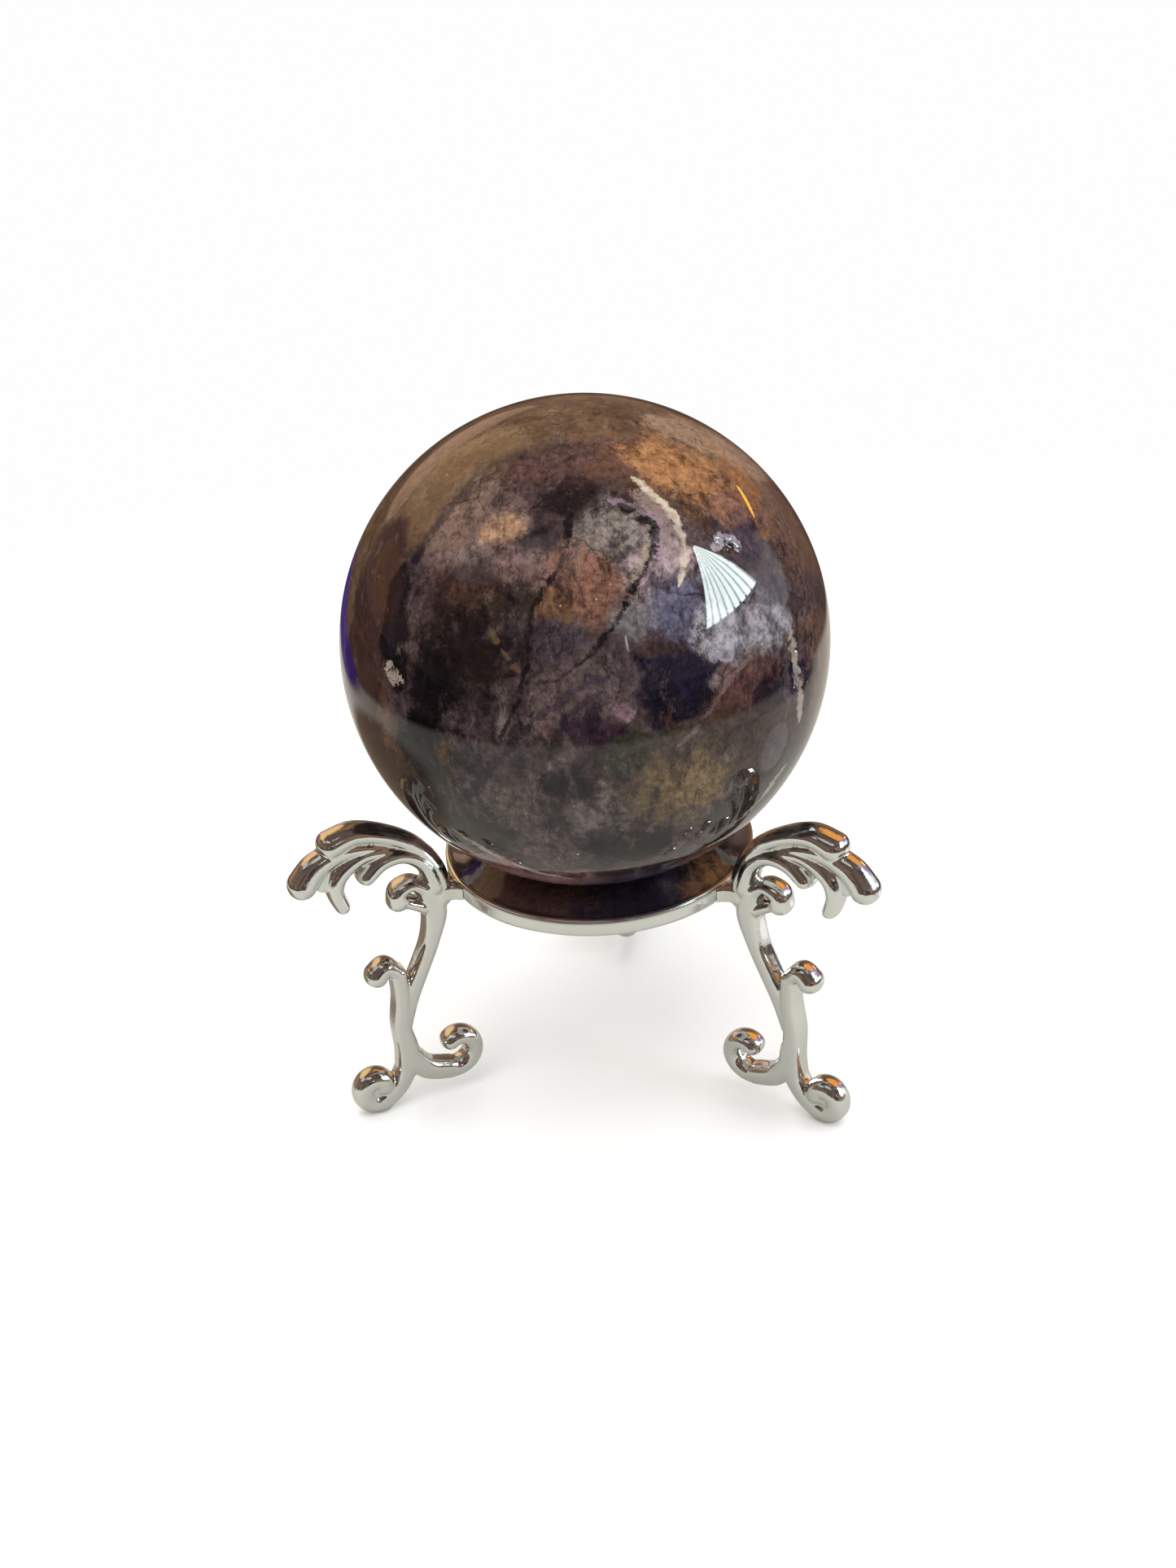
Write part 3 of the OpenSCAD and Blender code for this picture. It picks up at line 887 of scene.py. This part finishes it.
@dataclass(frozen=True)
class Strand:
    """One strand of a cast leg.

    Attributes: beads of radius, height and half thickness, half width at both ends, all in mm, section, and
    samples between two beads.
    """

    beads: Sequence[Bead]
    half: tuple[float, float]
    section: Section
    steps: int = 8

    def sweep(self, bm: bmesh.types.BMesh, around: int = 28) -> None:
        """Add the strand to a mesh as a closed tube with round ends.

        Args:
            bm: mesh to add to.
            around: points round the section.
        """
        line = catmull(self.beads, self.steps)
        last = len(line) - 1
        stations = []
        for i, (u, z, t) in enumerate(line):
            before, after = line[max(i - 1, 0)], line[min(i + 1, last)]
            way = Vector((after[0] - before[0], 0, after[1] - before[1])).normalized()
            w = self.half[0] + (self.half[1] - self.half[0]) * i / last
            stations.append((Vector((u, 0, z)), way, t, w))
        caps = [math.radians(a) for a in (84, 66, 48, 32, 16)]
        head = [self.capped(stations[0], -1, a) for a in caps]
        tail = [self.capped(stations[-1], 1, a) for a in reversed(caps)]
        rings = [self.ring(bm, station, around) for station in [*head, *stations, *tail]]
        for this, after in zip(rings, rings[1:]):
            for j in range(around):
                k = (j + 1) % around
                bm.faces.new((this[j], this[k], after[k], after[j]))
        bm.faces.new(rings[0][::-1])
        bm.faces.new(rings[-1])

    @staticmethod
    def capped(end: Station, outward: int, angle: float) -> Station:
        """Shrink a strand's end station onto its round cap.

        Args:
            end: the last full station.
            outward: -1 at the head of the strand, 1 at its tail.
            angle: how far round the cap the new station lies, in radians.

        Returns:
            The smaller station.
        """
        middle, way, thick, wide = end
        beyond = middle + outward * way * thick * math.sin(angle)
        return (beyond, way, thick * math.cos(angle), wide * math.cos(angle))

    def ring(self, bm: bmesh.types.BMesh, station: Station, around: int) -> list[bmesh.types.BMVert]:
        """Set one section of the tube.

        Args:
            bm: mesh to add to.
            station: middle, direction, half thickness and half width.
            around: points round the section.

        Returns:
            The section's vertices, in order.
        """
        middle, way, thick, wide = station
        across = Vector((-way.z, 0, way.x))
        power = 2 / self.section.value
        out = []
        for j in range(around):
            a = 2 * math.pi * (j + 0.5) / around
            c, s = math.cos(a), math.sin(a)
            x = math.copysign(abs(c) ** power, c) * thick
            y = math.copysign(abs(s) ** power, s) * wide
            out.append(bm.verts.new((middle + across * x + Vector((0, y, 0))) * MM))
        return out


@dataclass
class ScrollLeg:
    """One cast leg: a leaf plume over a bud, a forked stem with a middle bud, and two curled feet.

    Attributes: piece name, CAD node, heading in degrees from +X, cell of the remesh in mm, smoothing
    passes, and the radius in mm that the casting keeps to beside the ring, with the heights in mm between
    which it does.
    """

    name: str
    node: str
    angle: float
    voxel: float = 0.15
    rounds: int = 4
    ring_edge: float = 20.02
    ring_span: tuple[float, float] = (27.1, 34.0)

    @staticmethod
    def strands() -> list[Strand]:
        """Every strand of the casting."""
        r, soft, square = Section.ROUNDED, Section.SOFTENED, Section.SQUARED
        return [
            # plume: crest, outer lobe, drop lobe, inner lobe and web
            Strand(((21.9, 29.6, 1.3), (22.4, 33.8, 1.25), (24.7, 37.8, 1.2), (28.2, 40.4, 1.2),
                    (32.2, 41.8, 1.4), (35.3, 41.1, 1.7)), (1.5, 2.1), r),
            Strand(((28.4, 38.8, 1.0), (33.5, 39.8, 1.3), (37.3, 38.7, 1.7), (39.4, 36.5, 1.9)),
                   (1.3, 2.0), r),
            Strand(((27.6, 38.2, 0.9), (31.4, 38.6, 1.15), (34.6, 36.9, 1.35), (35.5, 34.6, 1.15),
                    (34.9, 32.2, 1.0)), (1.5, 1.8), r),
            Strand(((22.8, 31.6, 1.2), (23.9, 35.2, 1.2), (26.4, 37.3, 1.25), (29.3, 37.2, 1.3),
                    (31.5, 35.6, 1.2)), (1.85, 2.1), r),
            Strand(((36.4, 37.2, 1.5), (36.9, 35.6, 0.9)), (0.9, 0.8), r),
            # bud under the plume, and its heel
            Strand(((27.8, 30.7, 1.45), (27.6, 32.1, 1.2), (25.8, 32.7, 1.0), (24.3, 31.4, 1.1)),
                   (1.9, 1.6), r),
            Strand(((27.8, 30.7, 1.3), (26.4, 30.1, 0.9), (24.6, 29.0, 1.0)), (1.5, 1.6), r),
            # upper stem, middle bud and lower stem
            Strand(((24.0, 31.6, 1.3), (23.2, 28.2, 1.6), (24.2, 24.0, 1.15), (25.9, 20.2, 1.1),
                    (27.8, 16.4, 1.2), (29.1, 12.6, 1.15), (29.4, 10.2, 0.8)), (1.6, 1.4), square),
            Strand(((31.8, 20.6, 1.6), (30.6, 21.6, 1.3), (29.1, 20.2, 1.1)), (1.9, 1.6), r),
            Strand(((29.1, 20.2, 1.1), (29.0, 16.6, 1.1), (29.5, 12.4, 1.2), (29.1, 8.2, 1.5),
                    (29.4, 5.4, 1.4)), (1.6, 1.6), square),
            # inner foot and its curl, outer foot and its curl, and the sunk eye of the outer curl
            Strand(((29.0, 7.4, 1.5), (26.8, 4.4, 1.5), (23.6, 3.2, 1.4)), (1.6, 1.6), soft),
            Strand(scroll((22.5, 6.1), (3.1, 1.5), (-80, -300), (1.4, 1.2), 12), (1.6, 1.8), r, 3),
            Strand(((29.3, 5.6, 1.4), (30.9, 3.0, 1.3), (33.2, 1.4, 1.45)), (1.6, 1.6), soft),
            Strand(scroll((33.8, 3.55), (2.4, 1.0), (-105, 165), (1.5, 1.5), 14), (1.6, 1.9), r, 3),
            Strand(((33.2, 3.3, 1.5), (34.2, 3.5, 1.5)), (1.3, 1.3), r),
        ]

    def build(self, pattern: bpy.types.Mesh | None = None) -> bpy.types.Object:
        """Cast the leg, or copy an earlier casting, in the leg's own plane.

        Args:
            pattern: finished mesh of an earlier leg, in the leg's own plane.

        Returns:
            The leg.
        """
        if pattern is None:
            bm = bmesh.new()
            for strand in self.strands():
                strand.sweep(bm)
            leg = mesh_object(self.name, bm)
            fuse(leg, self.voxel, self.rounds)
            self.trim(leg.data)
        else:
            leg = bpy.data.objects.new(self.name, pattern.copy())
            bpy.context.scene.collection.objects.link(leg)
        return leg

    def trim(self, mesh: bpy.types.Mesh) -> None:
        """Flatten the feet on the ground and keep the casting clear of the ring.

        Args:
            mesh: the leg in its own plane, changed in place.
        """
        low, high = (z * MM for z in self.ring_span)
        edge_r = self.ring_edge * MM
        for vert in mesh.vertices:
            flat = math.hypot(vert.co.x, vert.co.y)
            if low < vert.co.z < high and flat < edge_r:
                vert.co.x *= edge_r / flat
                vert.co.y *= edge_r / flat
            vert.co.z = max(vert.co.z, 0.0)

    def dress(self, leg: bpy.types.Object, finish: bpy.types.Material) -> None:
        """Turn the leg to its heading and give it its finish and its body."""
        leg.data.transform(Matrix.Rotation(math.radians(self.angle), 4, "Z"))
        settle(leg, Body.STAND, self.node, finish)


@dataclass
class SolderJoint:
    """The flowed joint between the ring's wall and one leg: a tab with hollow sides and drops on top.

    Attributes: piece name, CAD node, heading in degrees from +X, radius of the ring's wall, reach outward,
    half width, radius of the hollow sides, heights of the underside and the top, drops as distance out,
    distance across, height and radius, cell of the remesh, all in mm, and smoothing passes.
    """

    name: str
    node: str
    angle: float
    ring: float = 19.92
    reach: float = 2.1
    half: float = 1.6
    fillet: float = 2.7
    span: tuple[float, float] = (29.5, 31.35)
    drops: tuple[tuple[float, float, float, float], ...] = (
        (20.6, 1.1, 31.3, 0.62), (20.5, -0.7, 31.2, 0.5), (20.9, 0.2, 31.1, 0.6))
    voxel: float = 0.12
    rounds: int = 12

    def build(self) -> bpy.types.Object:
        """Model the joint in the leg's plane, melt it together and turn it to its place."""
        bm = bmesh.new()
        side = [(self.ring + self.reach - self.fillet * math.cos(math.radians(a)),
                 self.half + self.fillet - self.fillet * math.sin(math.radians(a)))
                for a in range(38, 91, 4)]
        outline = side + [(u, -y) for u, y in reversed(side)]
        outline += [(self.ring * math.cos(a), self.ring * math.sin(a))
                    for a in (-0.11, -0.055, 0, 0.055, 0.11)]
        floor = [bm.verts.new((u * MM, y * MM, self.span[0] * MM)) for u, y in outline]
        roof = [bm.verts.new((u * MM, y * MM, self.span[1] * MM)) for u, y in outline]
        bm.faces.new(floor[::-1])
        bm.faces.new(roof)
        for i in range(len(outline)):
            j = (i + 1) % len(outline)
            bm.faces.new((floor[i], floor[j], roof[j], roof[i]))
        bmesh.ops.recalc_face_normals(bm, faces=bm.faces)
        for u, y, z, r in self.drops:
            bmesh.ops.create_icosphere(bm, subdivisions=3, radius=r * MM,
                                       matrix=Matrix.Translation(Vector((u, y, z)) * MM))
        joint = mesh_object(self.name, bm)
        fuse(joint, self.voxel, self.rounds)
        joint.data.transform(Matrix.Rotation(math.radians(self.angle), 4, "Z"))
        return joint

    def dress(self, joint: bpy.types.Object, finish: bpy.types.Material) -> None:
        """Give the joint its finish and its body."""
        settle(joint, Body.STAND, self.node, finish)


# ---------------------------------------------------------------- studio


@dataclass(frozen=True)
class Lamp:
    """A glow on the room's walls.

    Attributes: longitude, latitude, half length, half width and turn in degrees, colour, gain, and share of
    its radius that fades.
    """

    lon: float
    lat: float
    long: float
    wide: float
    turn: float
    colour: str
    gain: float = 1.0
    soft: float = 0.35

    def patch(self) -> Patch:
        """The glow's outline."""
        return Patch(self.lon, self.lat, self.long, self.wide, self.turn, self.colour, self.soft, 1.0)


@dataclass
class Studio:
    """Plain pale floor, soft lights, a dark warm room for the mirror parts, and the camera.

    Attributes: point that the lights aim at, radius of the pale table in metres, half the floor's side in
    metres, camera's direction (longitude and latitude) and distance from that point, point that it looks at
    in metres, its roll in degrees, its lens and film height in mm, glows on the walls, and marks on the
    table as x, y, half length and half width in metres, colour and gain.
    """

    aim: Vector
    pale: float = 0.17
    floor_half: float = 3.0
    eye_way: tuple[float, float] = (8.27, 24.92)
    eye_far: float = 0.2409
    look_at: tuple[float, float, float] = (-0.0009, 0.0, 0.0396)
    roll: float = -4.13
    lens: float = 44.84
    film: float = 36.0
    lamps: tuple[Lamp, ...] = (
        Lamp(-150, 10, 17, 8, 0, "#e8bca0", 1.0),  # pale wall behind on the left
        Lamp(-126, 38, 27, 18, 20, "#ecc088", 1.2),  # brass glow on the left
        Lamp(-108, 9, 16, 8, 0, "#b0805a"),  # lamp-lit shelf
        Lamp(-70, 45, 14, 9, 10, "#c8c8c4"),  # soft skylight, front left
        Lamp(-20, 62, 16, 8, 0, "#d8d4cc"),
        Lamp(142, 54, 28, 19, 20, "#f4a652", 1.1),  # orange lamp, behind on the right
        Lamp(152, 14, 10, 6, 0, "#c87a34"),
        Lamp(128, 22, 7, 5, 40, "#a03c10", 1.0),  # rust glow beside the lamp's filament
        Lamp(137.5, 19, 5.6, 0.9, 12, "#ffa838", 16.0, 0.3),  # filament
        Lamp(113, 11, 12, 15, 0, "#f6f8ff", 1.25),  # white window, far right
        Lamp(118, 27, 14, 10, 0, "#7c74a8", 1.5, 0.8),  # lilac sky round the window
        Lamp(28, 19, 6, 0.5, 88, "#e8f0ff", 9.0, 0.3),  # slit of daylight in front
        Lamp(180, 30, 18, 7, 0, "#6a5340"),
        Lamp(60, 58, 12, 7, 0, "#6c6a78"),
        Lamp(20, 10, 14, 10, 0, "#2c2a3a"),
        Lamp(-160, 62, 14, 8, 0, "#8a6a4c"),
    )
    on_table: tuple[tuple[float, float, float, float, str, float], ...] = (
        (-0.155, 0.15, 0.045, 0.09, "#2418a0", 0.95),  # indigo cloth beyond the left edge
        (0.115, -0.046, 0.030, 0.005, "#d8dcd6", 0.8),  # daylight on the table, between curtain folds
        (0.108, -0.020, 0.028, 0.006, "#d8dcd6", 0.9),
        (0.086, 0.012, 0.024, 0.016, "#ffffff", 1.1),  # more of it, nearer
        (0.17, 0.07, 0.05, 0.04, "#2c3c5c", 1.0),  # something dark blue beyond it
        (-0.085, 0.02, 0.045, 0.05, "#8c7a66", 1.0),  # brown shade on the left
    )

    def camera(self) -> None:
        """Place the camera about a forearm's length away, looking down a little."""
        data = bpy.data.cameras.new("camera")
        data.sensor_fit, data.sensor_height = "VERTICAL", self.film
        data.lens, data.clip_start = self.lens, 0.01
        eye = self.aim + heading(*self.eye_way) * self.eye_far
        look = (Vector(self.look_at) - eye).normalized()
        side = look.cross(Vector((0, 0, 1))).normalized()
        basis = Matrix((side, side.cross(look), -look)).transposed()
        turned = basis @ Matrix.Rotation(math.radians(self.roll), 3, "Z")
        obj = bpy.data.objects.new("camera", data)
        obj.matrix_world = Matrix.Translation(eye) @ turned.to_4x4()
        bpy.context.scene.collection.objects.link(obj)
        bpy.context.scene.camera = obj

    def floor(self) -> None:
        """Pale floor; mirror parts see it in painted shade, as a greyer table top, with window light on it
        and a darker room beyond.
        """
        bm = bmesh.new()
        bmesh.ops.create_grid(bm, x_segments=8, y_segments=8, size=self.floor_half)
        floor = mesh_object("floor", bm)
        floor.location.z = -0.0001
        tree, out = self.blank("floor_paper", floor)
        place = add(tree, "TexCoord").outputs["Object"]
        away = add(tree, "VectorMath", {"operation": "LENGTH"}, {0: place}).outputs[1]
        glossy = add(tree, "LightPath").outputs["Is Glossy Ray"]
        # painted shade: reflections see the pale paper in a shaded grey, the camera sees it white
        paper = add(tree, "BsdfDiffuse", {}, {0: mix(tree, linear("#f6f6f5"), linear("#bab9b0"), glossy)})
        glow = add(tree, "Emission", {}, {0: linear("#ffffff"), 1: 0.99})
        far = band(tree, away, 0.06, 0.24)
        clear = add(tree, "Math", {"operation": "SUBTRACT"}, {0: 1.0, 1: glossy}).outputs[0]
        fade = add(tree, "Math", {"operation": "MULTIPLY"}, {0: far, 1: clear}).outputs[0]
        sweep = add(tree, "MixShader", {}, {0: fade, 1: paper.outputs[0], 2: glow.outputs[0]})
        share = band(tree, away, self.pale - 0.01, self.pale + 0.015)
        table = mix(tree, linear("#3c3029"), linear("#6a5444"),
                    band(tree, grain(tree, place, 0.12, 3.0).outputs[0], 0.4, 0.62))
        for x, y, long, wide, code, gain in self.on_table:
            local = add(tree, "Mapping", {"vector_type": "TEXTURE"},
                        {"Vector": place, "Location": (x, y, 0), "Scale": (long, wide, 1)}).outputs[0]
            out_at = add(tree, "VectorMath", {"operation": "LENGTH"}, {0: local}).outputs[1]
            spot = edge(tree, out_at, 0.8, 1.2, 1.0)
            table = mix(tree, table, linear(code, gain), spot)
            share = add(tree, "Math", {"operation": "MAXIMUM"}, {0: share, 1: spot}).outputs[0]
        room = add(tree, "Emission", {}, {0: table, 1: 1.0})
        mirror = add(tree, "Math", {"operation": "MULTIPLY"}, {0: share, 1: glossy}).outputs[0]
        top = add(tree, "MixShader", {}, {0: mirror, 1: sweep.outputs[0], 2: room.outputs[0]})
        tree.links.new(top.outputs[0], out.inputs[0])

    def room(self) -> None:
        """White behind the object, and a dark warm room with a few lamps for everything that reflects."""
        world = bpy.data.worlds.new("studio")
        bpy.context.scene.world = world
        world.use_nodes = True
        tree = world.node_tree
        tree.nodes.clear()
        way = add(tree, "TexCoord").outputs["Generated"]
        height = add(tree, "SeparateXYZ", {}, {0: way}).outputs[2]
        wall = mix(tree, linear("#887060"), linear("#62544e"), band(tree, height, 0.0, 0.7))
        rough = grain(tree, way, 0.55, 4.0, 0.55).outputs[0]
        wall = mix(tree, wall, linear("#120e10"), band(tree, rough, 0.36, 0.5, 0.6, 0.0))
        wall = mix(tree, wall, linear("#8c6c50"), band(tree, rough, 0.56, 0.68, 0.0, 0.8))
        blur = shifted(tree, way, 0.3, 0.1, 4.0)
        for lamp in self.lamps:
            wall = mix(tree, wall, linear(lamp.colour, lamp.gain),
                       lamp.patch().mask(tree, way if lamp.gain > 3 else blur))
        path = add(tree, "LightPath")
        wall = mix(tree, wall, linear("#d9d9d9"), path.outputs["Is Diffuse Ray"])
        seen = mix(tree, wall, (1.0, 1.0, 1.0, 1.0), path.outputs["Is Camera Ray"])
        back = add(tree, "Background", {}, {0: seen, 1: 1.0})
        out = add(tree, "OutputWorld")
        tree.links.new(back.outputs[0], out.inputs[0])

    def window(self) -> None:
        """A bright slatted window, seen only by what reflects it."""
        top, left, right, slats, far = (89, 43), (67, 15), (104, 14), 8, 1.2
        tip = heading(*top)

        def sill(share: float) -> Vector:
            """Direction of a point along the window's lower edge."""
            return heading(left[0] + (right[0] - left[0]) * share, left[1] + (right[1] - left[1]) * share)

        # the pane hangs far enough behind the slats that its flat face never sags in front of them
        for name, strips, back, power in (("window_slats", slats, 1.0, 30.0),
                                          ("window_pane", 1, 1.15, 13.0)):
            bm = bmesh.new()
            for i in range(strips):
                a, b = sill((i + 0.02) / strips), sill((i + (1 if strips == 1 else 0.72)) / strips)
                corners = (a, b, b.lerp(tip, 0.96), a.lerp(tip, 0.96))
                bm.faces.new([bm.verts.new(self.aim + c.normalized() * far * back) for c in corners])
            self.panel(name, bm, "#dcecea", power)

    def panel(self, name: str, bm: bmesh.types.BMesh, colour: str, power: float) -> None:
        """Make a glowing panel that only reflections see.

        Args:
            name: object name.
            bm: its mesh.
            colour: its light's colour.
            power: emission strength.
        """
        obj = mesh_object(name, bm)
        tree, out = self.blank(name + "_light", obj)
        glow = add(tree, "Emission", {}, {0: linear(colour), 1: power})
        tree.links.new(glow.outputs[0], out.inputs[0])
        obj.visible_camera = obj.visible_diffuse = obj.visible_shadow = False

    @staticmethod
    def blank(name: str, obj: bpy.types.Object) -> tuple[bpy.types.NodeTree, bpy.types.Node]:
        """Give an object an empty material, and return its node tree and its output node."""
        made = bpy.data.materials.new(name)
        made.use_nodes = True
        made.node_tree.nodes.clear()
        obj.data.materials.append(made)
        return made.node_tree, add(made.node_tree, "OutputMaterial")

    def lamp(self, name: str, way: tuple[float, float], far: float, size: float, power: float,
             colour: str) -> None:
        """Hang one soft light that lights the colours but shows in no reflection.

        Args:
            name: object name.
            way: longitude and latitude from the ball, in degrees.
            far: distance in metres.
            size: side of the square light in metres.
            power: watts.
            colour: its colour.
        """
        data = bpy.data.lights.new(name, "AREA")
        data.shape, data.size, data.energy, data.color = "SQUARE", size, power, linear(colour)[:3]
        obj = bpy.data.objects.new(name, data)
        ahead = heading(*way)
        obj.location = self.aim + ahead * far
        obj.rotation_euler = ahead.to_track_quat("Z", "Y").to_euler()
        obj.visible_glossy = False
        bpy.context.scene.collection.objects.link(obj)

    def build(self) -> None:
        """Set the whole studio up."""
        self.camera()
        self.floor()
        self.room()
        self.window()
        self.lamp("overhead", (0, 88), 1.6, 1.4, 17.0, "#ffffff")
        self.lamp("front_left", (-40, 38), 1.6, 1.1, 7.6, "#fffaf4")
        self.lamp("right_window", (80, 30), 1.6, 0.9, 7.6, "#f4f7ff")
        self.lamp("behind", (180, 35), 1.6, 1.1, 6.4, "#fffaf4")
        bpy.context.scene.view_settings.view_transform = "Standard"


# ---------------------------------------------------------------- putting it together


def main() -> None:
    """Build the studio and every piece, in the order they are put together."""
    logging.basicConfig(level=logging.INFO, format="%(name)s %(message)s")
    ball = CrystalBall()
    Studio(ball.centre()).build()
    seat = SeatRing()
    seat.dress(seat.build())
    cast = SilverPlate("silver_plate_cast").material()
    legs = [ScrollLeg(node + "_cast", node, angle)
            for node, angle in (("leg_front_left", 210), ("leg_front_right", 330), ("leg_rear", 90))]
    pattern = None
    for leg in legs:
        piece = leg.build(pattern)
        pattern = pattern or piece.data.copy()
        leg.dress(piece, cast)
    flowed = SilverPlate("solder_plated", bright="#dcdcd8", smooth=0.1, worn=0.24, ripple=0.8,
                         height=0.03).material()
    for leg in legs:
        node = leg.node.replace("leg", "solder")
        joint = SolderJoint(node + "_flowed", node, leg.angle)
        joint.dress(joint.build(), flowed)
    ball.dress(ball.build())


if __name__ == "__main__":
    main()
